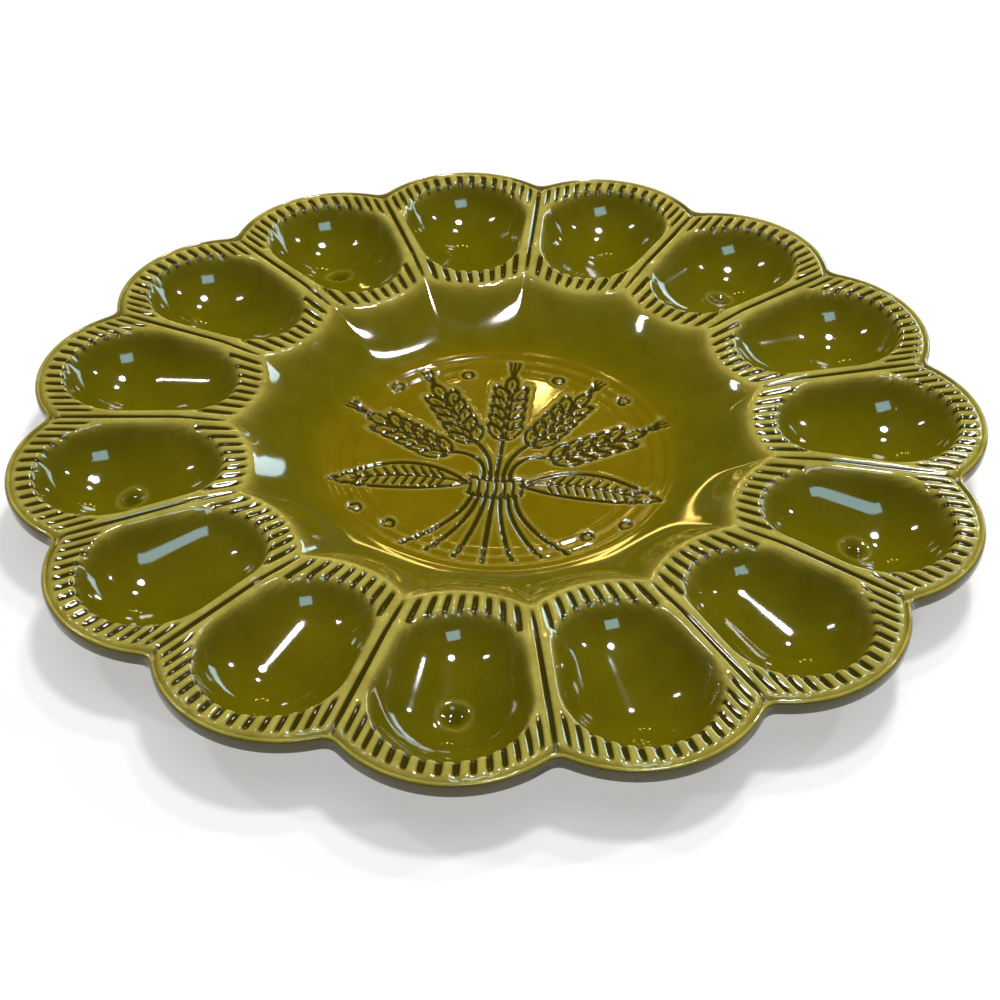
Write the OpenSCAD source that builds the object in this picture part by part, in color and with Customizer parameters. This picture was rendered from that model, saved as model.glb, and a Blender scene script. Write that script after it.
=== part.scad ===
// Deviled egg platter: a scalloped ring of egg wells round a shallow centre dish.
// One fired clay casting stands on peg feet under every third well and wears a glaze coat,
// which lies on its face and on its underside as two skins that meet under the lip.

/* [Platter] */
// Diameter over the scallop tips
platter_d = 330; // [324:1:345]
// Number of egg wells, each with a scallop of its own
well_count = 15; // [12:1:15]
// Radius of each scallop of the outer edge
scallop_r = 41.3; // [40:0.1:46]
// Thickness of the outer lip
lip_t = 6; // [5:0.1:7]
// Thickness under the wells and the dish, glaze included
wall = 4.5; // [3.5:0.1:4.6]

/* [Egg wells] */
// Width of a well across its mouth
well_w = 48; // [44:0.5:48.5]
// Depth of a well below the lip
well_d = 16; // [13:0.1:17]
// Radius of the ball that rounds a well's inner end
well_tip_r = 22; // [20:0.1:24]
// Distance between the centres of a well's two round ends
well_run = 19.5; // [17:0.1:20.5]
// Land between a well and the tip of its scallop
rim_w = 9; // [8:0.1:11]

/* [Centre dish] */
// Land between a well and the dish
land_w = 7.9; // [5:0.1:9]
// Radius of each lobe of the dish's edge
lobe_r = 40; // [37:0.5:44]
// Depth of the dish below the lip
dish_depth = 17; // [14:0.1:19]
// Radius of the dish's flat floor
floor_r = 48; // [40:0.5:52]

/* [Land] */
// How far the land falls from the wells' inner ends to the dish
land_fall = 2.4; // [1:0.1:3]

/* [Feet] */
// Diameter of a peg foot
foot_d = 9; // [6:0.5:9.5]
// Length of a foot below its well
foot_h = 6; // [5:0.1:10]
// How far a foot stands in from its well's widest place
foot_in = 4.5; // [3.5:0.1:5]
// How far the underside of each well is flattened for a foot's seat
seat_flat = 1.4; // [1.3:0.1:2]

/* [Glaze] */
// Thickness of the glaze coat
glaze_t = 0.5; // [0.3:0.05:0.8]

/* [Hidden] */
$fn = 128;
clay_tone = "tan";
face_tone = "olivedrab";
under_tone = "darkolivegreen";

// Angle from one well to the next
pitch_a = 360 / well_count;
// Clear height by which a cutting shape passes the surface that it cuts
over = 1;
// How far a well's cone lies inside the line that touches both its balls, so that it cuts them cleanly
cone_in = 0.15;
// How far inside the centres of the wells' inner ends the land starts to fall
fall_in = 3;

// Heights: the feet stand on z = 0
rim_z = foot_h - seat_flat + wall + well_d;
floor_z = rim_z - dish_depth;
slab_z = rim_z - lip_t;

// Outer edge: where the scallops' circles are centred
scallop_c = platter_d / 2 - scallop_r;

// Egg well: two balls and the cone between them, laid along the radius above the lip
egg_r = (pow(well_w / 2, 2) + pow(well_d, 2)) / (2 * well_d);
axis_z = rim_z - well_d + egg_r;
well_mid = platter_d / 2 - rim_w - well_w / 2;
cone_a = asin((egg_r - well_tip_r) / well_run);
well_inner = well_mid - well_run - sqrt(pow(well_tip_r, 2) - pow(axis_z - rim_z, 2));

// Dish: where the lobes' circles are centred
lobe_c = well_inner - land_w + lobe_r;

// Land: the ball that hollows it gently, from the radius at which it starts to fall
fall_r = well_mid - well_run - fall_in;
fall_h = (pow(fall_r, 2) - pow(lobe_c - lobe_r, 2) - pow(land_fall, 2)) / (2 * land_fall);
fall_ball = sqrt(pow(fall_r, 2) + pow(fall_h, 2));

// Bowl of the dish: the cusps between the lobes and the arc, which meets the land at the cusps
cusp_r = lobe_edge(pitch_a / 2);
cusp_drop = land_z(cusp_r) - floor_z;
bowl_r = (pow(cusp_r - floor_r, 2) + pow(cusp_drop, 2)) / (2 * cusp_drop);

// Feet: as many as are listed below, each up to the clay of its well
foot_count = 5;
foot_r = well_mid - foot_in;
seat_z = foot_h + glaze_t;

// Radius of the dish's edge at angle b from a well's middle
function lobe_edge(b) = lobe_c * cos(b) - sqrt(pow(lobe_r, 2) - pow(lobe_c * sin(b), 2));
// Height of the land at radius r
function land_z(r) = rim_z - max(0, sqrt(pow(fall_ball, 2) - pow(r, 2)) - fall_h);

// Turns its children to well k, the first on -Y
module at_well(k) {
  rotate([0, 0, k * pitch_a - 90]) children();
}

// Repeats its children at every well
module round_the_wells() {
  for (k = [0 : well_count - 1]) at_well(k) children();
}

// Half section of the egg along its axis, its blunt end towards +Y, grown by g
module egg_section(g) {
  big = egg_r + g;
  small = well_tip_r + g;
  intersection() {
    union() {
      circle(big);
      translate([0, -well_run]) circle(small);
      polygon([
        [0, 0], [(big - cone_in) * cos(cone_a), (cone_in - big) * sin(cone_a)],
        [(small - cone_in) * cos(cone_a), -well_run + (cone_in - small) * sin(cone_a)], [0, -well_run]
      ]);
    }
    translate([0, -2 * well_w]) square(4 * well_w);
  }
}

// One egg, grown by g and cut off level at the bottom and the top
module egg(g, bottom, top) {
  intersection() {
    translate([well_mid, 0, axis_z]) rotate([0, 90, 0]) rotate([0, 0, 180]) rotate_extrude() egg_section(g);
    translate([0, -well_w, bottom]) cube([platter_d, 2 * well_w, top - bottom]);
  }
}

// Outline of the scalloped edge, grown by g
module scallops(g) {
  circle(scallop_c);
  round_the_wells() translate([scallop_c, 0]) circle(scallop_r + g);
}

// The bowl of the dish, grown by g and cut off level at the top
module bowl(g, top) {
  rotate_extrude() {
    translate([0, floor_z - g]) square([floor_r, top - floor_z + g]);
    intersection() {
      translate([floor_r, floor_z + bowl_r]) circle(bowl_r + g);
      translate([floor_r, floor_z - g]) square([platter_d, top - floor_z + g]);
    }
  }
}

// The hollow of the dish with its lobed edge, grown by g
module dish(g, top) {
  intersection() {
    bowl(g, top);
    linear_extrude(top + over)
      difference() {
        circle(lobe_c);
        round_the_wells() translate([lobe_c, 0]) circle(lobe_r - g);
      }
  }
}

// The hollow that lets the land fall towards the dish, grown by g
module fall(g, top) {
  rotate_extrude()
    intersection() {
      translate([0, rim_z + fall_h]) circle(fall_ball + g, $fn = 1440);
      translate([0, floor_z]) square([well_mid, top - floor_z]);
    }
}

// All that hangs below the lip, the backs of the wells and of the dish, grown by g
module bulges(g, top) {
  round_the_wells() egg(wall + g, foot_h - g, top);
  bowl(wall + g, top);
}

// All that the platter fills before it is hollowed, grown by g
module mass(g) {
  translate([0, 0, slab_z - g]) linear_extrude(lip_t + 2 * g) scallops(g);
  bulges(g, slab_z + over);
}

// All that hollows the platter from above, the wells, the dish and the land's fall, grown by g
module hollows(g, top) {
  round_the_wells() egg(g, foot_h, top);
  dish(g, top);
  fall(g, top);
}

// Peg at foot i, under the well nearest to its share of the ring
module peg(i) {
  at_well(round((i - 1) * well_count / foot_count))
    translate([foot_r, 0, 0]) cylinder(d = foot_d, h = seat_z);
}

// Fired clay under the glaze
module clay_body() {
  color(clay_tone)
    difference() {
      mass(-glaze_t);
      hollows(glaze_t, rim_z + over);
    }
}

// Glaze over the land, the wells, the dish and the side of the lip
module face_glaze() {
  lip_z = slab_z + glaze_t;
  color(face_tone)
    difference() {
      union() {
        difference() {
          translate([0, 0, lip_z]) linear_extrude(rim_z - lip_z) scallops(0);
          translate([0, 0, slab_z - over]) linear_extrude(lip_t + over - glaze_t) scallops(-glaze_t);
        }
        hollows(glaze_t, rim_z - glaze_t / 2);
      }
      hollows(0, rim_z + over);
    }
}

// Glaze under the lip, the wells and the dish, open where the feet come through
module underside_glaze() {
  color(under_tone)
    difference() {
      union() {
        translate([0, 0, slab_z]) linear_extrude(glaze_t) scallops(0);
        bulges(0, slab_z + glaze_t / 2);
      }
      bulges(-glaze_t, slab_z + over);
      for (i = [1 : foot_count]) peg(i);
    }
}

// Peg foot that stands on the table and meets the clay of its well
module foot(i) {
  color(clay_tone) peg(i);
}

clay_body();
face_glaze();
underside_glaze();
foot(1);  // foot_1
foot(2);  // foot_2
foot(3);  // foot_3
foot(4);  // foot_4
foot(5);  // foot_5
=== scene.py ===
"""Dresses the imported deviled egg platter: glazed face, glazed underside, clay casting and peg feet.

Lengths are millimetres in the platter's own frame. A mesh turns them into metres when it is made.
"""

import logging
import math
from dataclasses import dataclass, field
from enum import Enum

import bpy
import numpy as np
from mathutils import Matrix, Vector


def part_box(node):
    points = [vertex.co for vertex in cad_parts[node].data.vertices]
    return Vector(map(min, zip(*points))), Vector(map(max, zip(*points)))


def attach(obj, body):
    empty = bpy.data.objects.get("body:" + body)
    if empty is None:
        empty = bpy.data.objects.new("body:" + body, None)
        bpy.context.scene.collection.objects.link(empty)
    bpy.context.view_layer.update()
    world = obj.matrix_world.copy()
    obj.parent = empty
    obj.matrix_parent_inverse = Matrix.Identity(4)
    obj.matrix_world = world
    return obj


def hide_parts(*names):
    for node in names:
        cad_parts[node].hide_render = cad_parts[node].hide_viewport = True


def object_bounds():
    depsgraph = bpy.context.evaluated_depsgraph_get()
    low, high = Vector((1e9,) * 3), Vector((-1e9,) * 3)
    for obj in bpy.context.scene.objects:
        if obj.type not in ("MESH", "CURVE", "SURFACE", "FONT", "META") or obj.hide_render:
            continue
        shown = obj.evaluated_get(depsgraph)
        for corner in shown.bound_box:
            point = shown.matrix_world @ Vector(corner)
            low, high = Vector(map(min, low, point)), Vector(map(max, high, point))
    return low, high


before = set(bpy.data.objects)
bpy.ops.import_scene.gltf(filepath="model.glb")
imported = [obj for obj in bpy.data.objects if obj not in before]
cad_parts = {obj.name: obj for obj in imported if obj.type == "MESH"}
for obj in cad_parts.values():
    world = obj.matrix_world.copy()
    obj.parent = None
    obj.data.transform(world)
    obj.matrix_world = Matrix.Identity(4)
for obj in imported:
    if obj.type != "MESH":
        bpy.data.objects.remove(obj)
CAD_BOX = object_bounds()

LOG = logging.getLogger("platter")
MM = 0.001
Array = np.ndarray
Colour = tuple[float, float, float]
Place = tuple[float, float, float]
Point = tuple[float, float]
Line = tuple[Array, float]
Socket = bpy.types.NodeSocket
FAR_OFF = 1e3


def ease(x: Array) -> Array:
    """Returns x clipped to 0..1 and eased at both ends."""
    x = np.clip(x, 0.0, 1.0)
    return x * x * (3.0 - 2.0 * x)


def soft_low(a: Array, b: Array, k: float) -> Array:
    """Joins two heights by the lower one.

    Args:
        a: first height.
        b: second height.
        k: how far apart the heights still round each other off.

    Returns:
        The lower height, rounded where the two cross.
    """
    h = np.clip(0.5 + 0.5 * (b - a) / k, 0.0, 1.0)
    return b + (a - b) * h - k * h * (1.0 - h)


def soft_high(a: Array, b: Array, k: float) -> Array:
    """Joins two heights by the higher one, as soft_low does by the lower."""
    return -soft_low(-a, -b, k)


@dataclass(frozen=True)
class PlatterForm:
    """Sizes of the casting, as in the part's source, and its smooth surfaces in polar coordinates.

    A place is a radius r and b, the angle from the middle of the nearest well.
    """

    rim_z: float
    tip_r: float
    wells: int = 15
    scallop_r: float = 41.3
    lip_t: float = 6.0
    wall: float = 4.5
    well_w: float = 48.0
    well_d: float = 16.0
    well_tip_r: float = 22.0
    well_run: float = 19.5
    rim_w: float = 9.0
    land_w: float = 7.9
    lobe_r: float = 40.0
    dish_depth: float = 17.0
    floor_r: float = 48.0
    foot_z: float = 6.0
    glaze_t: float = 0.5
    clay_deep: float = 1.9
    clay_high: float = 1.2
    land_fall: float = 2.4
    fall_in: float = 3.0
    lip_top: float = 1.2
    lip_low: float = 1.4
    notch_fill: float = 3.5
    well_edge: float = 2.1
    dish_edge: float = 2.4
    edge_round: float = 1.1
    cusp_soft: float = 1.8
    flute_run: float = 24.0
    ripple_h: float = 0.3
    ripple_pitch: float = 4.6
    ripple_in: float = 45.0
    ripple_rise: float = 5.0
    ripple_out: float = 66.0
    ripple_fade: float = 10.0
    fall_soft: float = 0.3
    mouth_most: float = 0.97
    mouth_fall: float = 0.65
    wall_most: float = 0.93
    backs_soft: float = 3.0
    seat_soft: float = 0.5
    bowl_soft: float = 4.0
    lip_soft: float = 2.5
    halvings: int = 40
    lean_step: float = 0.02

    @classmethod
    def from_frame(cls) -> "PlatterForm":
        """Takes the rim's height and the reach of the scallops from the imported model."""
        low, high = CAD_BOX
        return cls(rim_z=high.z / MM, tip_r=-low.y / MM)

    @property
    def pitch(self) -> float:
        """Angle from one well to the next."""
        return 2.0 * math.pi / self.wells

    @property
    def scallop_c(self) -> float:
        """Radius at which the scallops' circles are centred."""
        return self.tip_r - self.scallop_r

    @property
    def egg_r(self) -> float:
        """Radius of a well's blunt end."""
        return ((self.well_w / 2) ** 2 + self.well_d**2) / (2 * self.well_d)

    @property
    def axis_z(self) -> float:
        """Height of the wells' axes."""
        return self.rim_z - self.well_d + self.egg_r

    @property
    def well_mid(self) -> float:
        """Radius of the middle of a well's blunt end."""
        return self.tip_r - self.rim_w - self.well_w / 2

    @property
    def cone_sin(self) -> float:
        """Sine of the slope between a well's two round ends."""
        return (self.egg_r - self.well_tip_r) / self.well_run

    @property
    def lobe_c(self) -> float:
        """Radius at which the lobes of the dish's edge are centred."""
        above = self.axis_z - self.rim_z
        inner = self.well_mid - self.well_run - math.sqrt(self.well_tip_r**2 - above**2)
        return inner - self.land_w + self.lobe_r

    @property
    def lobe_mean(self) -> float:
        """Middle radius of the dish's edge."""
        return self.lobe_c - self.lobe_r + self.dish_edge

    @property
    def floor_z(self) -> float:
        """Height of the dish's floor."""
        return self.rim_z - self.dish_depth

    @property
    def fall_r(self) -> float:
        """Radius at which the land starts to fall towards the dish."""
        return self.well_mid - self.well_run - self.fall_in

    def polar(self, x: Array, y: Array) -> tuple[Array, Array]:
        """Returns radius and angle from the nearest well's middle."""
        a = np.arctan2(x, -y)
        return np.hypot(x, y), a - self.pitch * np.round(a / self.pitch)

    def beside(self, b: Array) -> Array:
        """Returns the angle from the middle of the second nearest well."""
        return self.pitch - np.abs(b)

    def egg(self, r: Array, b: Array, grow: float = 0.0) -> Array:
        """Gives the height of an egg's underside.

        Args:
            r: radius.
            b: angle from the well's middle.
            grow: how much larger than the well the egg is.

        Returns:
            The height, or the axis's own where the egg doesn't reach.
        """
        along = r * np.cos(b) - self.well_mid
        across = r * np.sin(b)
        big = self.egg_r + grow
        small = self.well_tip_r + grow
        cone_cos = math.sqrt(1.0 - self.cone_sin**2)
        blunt = big**2 - along**2
        cone = ((big + along * self.cone_sin) / cone_cos) ** 2
        tip = small**2 - (along + self.well_run) ** 2
        square = np.where(along < -self.well_run - small * self.cone_sin, tip, cone)
        square = np.where(along > -big * self.cone_sin, blunt, square)
        return self.axis_z - np.sqrt(np.maximum(square - across**2, 0.0))

    def mouth_out(self, b: Array) -> Array:
        """Returns the radius of the outer end of a well's mouth."""
        half = self.well_w / 2
        side = np.minimum(np.abs(self.well_mid * np.sin(b)), self.mouth_most * half)
        return self.well_mid * np.cos(b) + np.sqrt(half**2 - side**2)

    def mouth_in(self, b: Array) -> Array:
        """Returns the radius of the inner end of a well's mouth."""
        above = self.axis_z - self.rim_z + self.mouth_fall * self.land_fall
        half = math.sqrt(self.well_tip_r**2 - above**2)
        centre = self.well_mid - self.well_run
        side = np.minimum(np.abs(centre * np.sin(b)), self.mouth_most * half)
        return centre * np.cos(b) - np.sqrt(half**2 - side**2)

    def lobe(self, b: Array) -> Array:
        """Returns the radius of the dish's lobed edge."""
        side = self.lobe_c * np.sin(b)
        return self.lobe_c * np.cos(b) - np.sqrt(self.lobe_r**2 - side**2)

    def edge_depth(self, r: Array, b: Array) -> Array:
        """Returns how far a place lies inside the scalloped outline."""
        own = np.hypot(r * np.cos(b) - self.scallop_c, r * np.sin(b))
        c = self.beside(b)
        near = np.hypot(r * np.cos(c) - self.scallop_c, r * np.sin(c))
        return self.scallop_r - soft_low(own, near, self.notch_fill)

    def edge_radius(self, b: Array) -> Array:
        """Returns the radius of the scalloped outline."""
        low = np.full_like(b, self.scallop_c)
        high = np.full_like(b, self.tip_r + 1.0)
        for _ in range(self.halvings):
            mid = (low + high) / 2
            inside = self.edge_depth(mid, b) > 0.0
            low = np.where(inside, mid, low)
            high = np.where(inside, high, mid)
        return low

    def edge_lean(self, b: Array) -> tuple[Array, Array]:
        """Returns the outline's outward normal, as its radial and its sideways part."""
        r = self.edge_radius(b)
        step = self.lean_step
        out = self.edge_depth(r - step, b) - self.edge_depth(r + step, b)
        turn = step / r
        side = self.edge_depth(r, b - turn) - self.edge_depth(r, b + turn)
        size = np.hypot(out, side)
        return out / size, side / size

    def land(self, r: Array) -> Array:
        """Returns the height of the land, which falls gently towards the dish."""
        inner = self.lobe_c - self.lobe_r
        high = (self.fall_r**2 - inner**2 - self.land_fall**2) / (2 * self.land_fall)
        fall = np.sqrt(self.fall_r**2 + high**2 - r**2) - high
        return self.rim_z - soft_high(fall, np.zeros_like(fall), self.fall_soft)

    def dish(self, r: Array, b: Array) -> Array:
        """Returns the height of the dish, whose flutes fade out down the wall."""
        c = self.beside(b)
        own = np.hypot(r * np.cos(b) - self.lobe_c, r * np.sin(b)) - self.lobe_r
        near = np.hypot(r * np.cos(c) - self.lobe_c, r * np.sin(c)) - self.lobe_r
        fluted = soft_low(own, near, self.cusp_soft)
        plain = self.lobe_mean - r
        fade = ease(fluted / self.flute_run)
        inward = fluted * (1.0 - fade) + plain * fade
        reach = self.lobe_mean - self.floor_r
        drop = self.dish_depth - self.land_fall
        arc = (reach**2 + drop**2) / (2 * drop)
        left = np.clip(reach - inward, 0.0, self.wall_most * arc)
        z = self.floor_z + arc - np.sqrt(arc**2 - left**2)
        ring = ease((r - self.ripple_in) / self.ripple_rise) * ease((self.ripple_out - r) / self.ripple_fade)
        return z + self.ripple_h * ring * np.sin(2 * math.pi * (r - self.floor_r) / self.ripple_pitch)

    def face(self, r: Array, b: Array) -> Array:
        """Returns the height of the smooth face inside the rolled lip."""
        z = soft_low(self.land(r), self.dish(r, b), self.edge_round)
        return soft_low(z, self.egg(r, b), self.well_edge)

    def under(self, r: Array, b: Array) -> Array:
        """Returns the height of the smooth underside."""
        own = self.egg(r, b, self.wall)
        eggs = soft_low(own, self.egg(r, self.beside(b), self.wall), self.backs_soft)
        eggs = soft_high(eggs, np.full_like(eggs, self.foot_z), self.seat_soft)
        reach = self.lobe_mean - self.floor_r
        arc = (reach**2 + self.dish_depth**2) / (2 * self.dish_depth)
        left = np.clip(r - self.floor_r, 0.0, arc)
        bowl = self.floor_z + arc - np.sqrt((arc + self.wall) ** 2 - left**2)
        z = soft_low(eggs, bowl, self.bowl_soft)
        return soft_low(z, np.full_like(z, self.rim_z - self.lip_t), self.lip_soft)


@dataclass(frozen=True)
class RibBands:
    """Short grooves that leave ribs on the land, and a long groove along each web between two wells."""

    form: PlatterForm
    inner_pitches: int = 9
    outer_pitches: int = 16
    depth: float = 1.0
    half: float = 0.19
    soft: float = 0.07
    crown: float = 0.3
    shoulder: float = 0.45
    shoulder_w: float = 1.2
    longest_in: float = 17.0
    longest_out: float = 14.0
    lip_clear: float = 2.5
    dish_clear: float = 0.1
    well_clear: float = -1.9
    web_half: float = 0.0066
    web_clear: float = 1.2
    web_soft: float = 0.35
    slot_taper: float = 0.5
    slot_ends: float = 0.3
    web_ends: float = 0.25

    def slot(self, phase: Array, run: Array) -> Array:
        """Gives the depth of a spindle-shaped groove.

        Args:
            phase: distance from the groove's middle, in pitches.
            run: place along the groove, 0 to 1 between its ends.

        Returns:
            Depth in millimetres.
        """
        inside = np.sin(math.pi * np.clip(run, 0.0, 1.0))
        off = np.abs(phase)
        across = ease((self.half * inside**self.slot_taper + self.soft - off) / (2 * self.soft))
        rounded = self.crown * ease((0.5 - off) / (0.5 - self.half - self.soft)) * (1.0 - across)
        return (self.depth * across + rounded) * inside**self.slot_ends * (inside > 0.0)

    def inner(self, r: Array, b: Array, u: Array) -> Array:
        """Returns the depth of the grooves between the dish and the wells."""
        place = (u + 0.5) * self.inner_pitches
        phase = place - np.round(place)
        start = self.form.lobe(b) + self.dish_clear
        end = np.minimum(self.form.mouth_in(b) - self.well_clear, start + self.longest_in)
        on_web = (np.round(place) % self.inner_pitches) == 0
        return np.where(on_web, 0.0, self.slot(phase, (r - start) / (end - start)))

    def outer(self, r: Array, b: Array, u: Array) -> Array:
        """Returns the depth of the grooves between the wells and the lip."""
        place = (u + 0.5) * self.outer_pitches
        phase = place - np.round(place)
        depth = self.form.edge_depth(r, b)
        start = self.form.edge_depth(self.form.mouth_out(b), b) - self.well_clear
        start = np.minimum(start, self.longest_out)
        on_web = (np.round(place) % self.outer_pitches) == 0
        run = (start - depth) / (start - self.lip_clear)
        return np.where(on_web, 0.0, self.slot(phase, run))

    def step(self, r: Array, b: Array) -> Array:
        """Returns how far the land steps down from the ribs' outer ends to the lip."""
        beyond = self.lip_clear + self.shoulder_w / 2 - self.form.edge_depth(r, b)
        return self.shoulder * ease(beyond / self.shoulder_w)

    def web(self, r: Array, b: Array) -> Array:
        """Returns the depth of the long groove along a web."""
        half_pitch = self.form.pitch / 2
        start = float(self.form.lobe(np.array([half_pitch]))[0]) + self.web_clear
        end = float(self.form.edge_radius(np.array([half_pitch]))[0]) - self.lip_clear
        inside = np.sin(math.pi * np.clip((r - start) / (end - start), 0.0, 1.0))
        off = (half_pitch - np.abs(b)) / self.web_half
        across = ease((1.0 + self.web_soft - off) / (2 * self.web_soft))
        return self.depth * across * inside**self.web_ends * (inside > 0.0)


@dataclass(frozen=True)
class SinkMarks:
    """Small sinks in the floor of each well that has a foot under it."""

    form: PlatterForm
    every: int = 3
    mark_r: float = 125.4
    core: float = 4.7
    depth: float = 1.1
    ring: float = 5.1
    ring_w: float = 0.6
    ring_h: float = 0.2
    steep: float = 1.5

    def centres(self) -> list[tuple[float, float]]:
        """Returns the places of the sinks."""
        turns = [k * self.form.pitch for k in range(0, self.form.wells, self.every)]
        return [(self.mark_r * math.sin(a), -self.mark_r * math.cos(a)) for a in turns]

    def carve(self, x: Array, y: Array) -> tuple[Array, Array, Array]:
        """Returns the sinks' depth, how far each place is in a sink, and how far on its ring."""
        sink = np.zeros_like(x)
        ring = np.zeros_like(x)
        for cx, cy in self.centres():
            d = np.hypot(x - cx, y - cy)
            sink += ease(self.steep * (1.0 - d / self.core))
            ring += np.exp(-(((d - self.ring) / self.ring_w) ** 2))
        return self.depth * sink - self.ring_h * ring, sink, ring


@dataclass(frozen=True)
class WheatDesign:
    """Incised sheaf of wheat on the dish's floor: ears, stems, a tie, stalks, two blades and stray seeds."""

    bold: float = 0.62
    fine: float = 0.42
    depth: float = 0.65
    edge_h: float = 0.16
    tie_y: float = -11.0
    tie_half: float = 8.0
    tie_drop: float = 8.0
    ear_turns: tuple[float, ...] = (-58.0, -29.0, 0.0, 29.0, 58.0)
    stem: float = 21.0
    grain_step: float = 5.0
    grain_pairs: int = 5
    grain_long: float = 4.0
    grain_wide: float = 1.9
    grain_side: float = 2.9
    grain_lean: float = 27.0
    awn: float = 8.0
    stalk_ends: tuple[float, ...] = (-25.0, -17.0, -8.5, 0.0, 8.5, 17.0, 25.0)
    stalk_y: float = -51.0
    blade: Point = (51.0, -18.0)
    seeds: tuple[Point, ...] = (
        (15.0, 41.0), (-15.0, 41.0), (37.0, 32.0), (-37.0, 32.0),
        (30.0, -36.0), (-30.0, -36.0), (41.0, -30.0), (-41.0, -30.0),
    )
    seed_r: float = 1.7
    scale: float = 1.1
    reach: float = 61.0
    stem_root: float = 0.07
    stem_lean: float = 0.22
    stem_bend: float = 0.6
    ear_top: float = 1.2
    awn_fans: tuple[float, ...] = (-12.0, 0.0, 12.0)
    stalk_root: float = 0.26
    stalk_lean: float = 0.3
    stalk_bend: float = 13.0
    stalk_rise: float = 0.25
    tie_sag: float = 3.0
    tie_cords: int = 7
    cord_sag: float = 1.5
    cord_lean: float = 1.0
    blade_root: float = 3.5
    blade_upper: Point = (29.0, 14.0)
    blade_lower: Point = (26.0, -10.0)
    blade_steps: int = 16
    vein_first: int = 3
    vein_last: int = 12
    vein_reach: float = 0.72
    grain_start: float = 2.2
    crease: float = 0.35
    crease_half: float = 0.5
    line_soft: float = 0.32
    edge_out: float = 0.75
    edge_w: float = 0.45
    margin: float = 2.0

    def curve(self, a: Point, b: Point, c: Point, steps: int = 12) -> Array:
        """Returns points of a curve from a to c that leans to b."""
        t = np.linspace(0.0, 1.0, steps)[:, None]
        p, q, s = np.array(a), np.array(b), np.array(c)
        return (1 - t) ** 2 * p + 2 * t * (1 - t) * q + t**2 * s

    def ears(self) -> list[Line]:
        """Returns the stems of the ears and their awns, with half the width of each line."""
        lines = []
        for turn in self.ear_turns:
            a = math.radians(turn)
            base = (self.stem * math.sin(a), self.tie_y + self.stem * math.cos(a))
            lean = (self.stem_lean * base[0], self.tie_y + self.stem_bend * self.stem)
            lines.append((self.curve((self.stem_root * turn, self.tie_y), lean, base), self.bold))
            top = self.stem + self.grain_step * (self.grain_pairs + self.ear_top)
            tip = (top * math.sin(a), self.tie_y + top * math.cos(a))
            for fan in self.awn_fans:
                f = math.radians(turn + fan)
                end = (tip[0] + self.awn * math.sin(f), tip[1] + self.awn * math.cos(f))
                lines.append((self.curve(tip, tip, end, 3), self.fine))
        return lines

    def straw(self) -> list[Line]:
        """Returns the stalks and the tie, with half the width of each line."""
        low = self.tie_y - self.tie_drop
        lines = []
        for x in self.stalk_ends:
            bend = (self.stalk_lean * x, low - self.stalk_bend)
            end = (x, self.stalk_y + self.stalk_rise * abs(x))
            lines.append((self.curve((self.stalk_root * x, low), bend, end), self.bold))
        for y in (self.tie_y, low):
            sides = (-self.tie_half, y), (self.tie_half, y)
            lines.append((self.curve(sides[0], (0.0, y - self.tie_sag), sides[1], 8), self.bold))
        for x in np.linspace(-self.tie_half, self.tie_half, self.tie_cords):
            sag = self.cord_sag * (1.0 - (x / self.tie_half) ** 2)
            bend = (x + self.cord_lean, low)
            lines.append((self.curve((x, self.tie_y - sag), bend, (x, low - sag), 4), self.fine))
        return lines

    def blades(self) -> list[Line]:
        """Returns the two broad blades and their veins, with half the width of each line."""
        lines = []
        for side in (-1.0, 1.0):
            root = (side * self.tie_half, self.tie_y - self.blade_root)
            tip = (side * self.blade[0], self.blade[1])
            bends = [(side * x, self.tie_y + y) for x, y in (self.blade_upper, self.blade_lower)]
            upper, lower = (self.curve(root, bend, tip, self.blade_steps) for bend in bends)
            middle = (upper + lower) / 2
            lines += [(upper, self.bold), (lower, self.bold), (middle[:-2], self.fine)]
            for i in range(self.vein_first, self.vein_last + 1):
                for rim in (upper, lower):
                    vein = middle[i] + self.vein_reach * (rim[i + 1] - middle[i])
                    lines.append((np.array([middle[i], vein]), self.fine))
        return lines

    def grains(self) -> list[tuple[float, float, float]]:
        """Returns each grain's centre and turn."""
        found = []
        for turn in self.ear_turns:
            a = math.radians(turn)
            along = np.array([math.sin(a), math.cos(a)])
            across = np.array([math.cos(a), -math.sin(a)])
            start = np.array([0.0, self.tie_y]) + along * (self.stem + self.grain_start)
            for i in range(self.grain_pairs):
                for side in (-1.0, 1.0):
                    at = start + along * i * self.grain_step + across * side * self.grain_side
                    found.append((at[0], at[1], a + math.radians(side * self.grain_lean)))
            at = start + along * self.grain_pairs * self.grain_step
            found.append((at[0], at[1], a))
        return found

    def distance(self, x: Array, y: Array) -> Array:
        """Returns the distance from each place to the nearest line's side, below zero inside a line."""
        best = np.full_like(x, FAR_OFF)
        for line, half in self.ears() + self.straw() + self.blades():
            for p, q in zip(line[:-1], line[1:]):
                dx, dy = q - p
                size = dx * dx + dy * dy
                t = np.clip(((x - p[0]) * dx + (y - p[1]) * dy) / size, 0.0, 1.0)
                best = np.minimum(best, np.hypot(x - p[0] - t * dx, y - p[1] - t * dy) - half)
        for gx, gy, turn in self.grains():
            s, c = math.sin(turn), math.cos(turn)
            along = ((x - gx) * s + (y - gy) * c) / self.grain_long
            across = ((x - gx) * c - (y - gy) * s) / self.grain_wide
            best = np.minimum(best, np.abs(np.hypot(along, across) - 1.0) * self.grain_wide - self.fine)
            past = np.maximum(np.abs(along) - self.crease, 0.0)
            mark = np.hypot(past * self.grain_long, across * self.grain_wide)
            best = np.minimum(best, mark - self.crease_half * self.fine)
        for sx, sy in self.seeds:
            best = np.minimum(best, np.abs(np.hypot(x - sx, y - sy) - self.seed_r) - self.fine)
        return best

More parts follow.
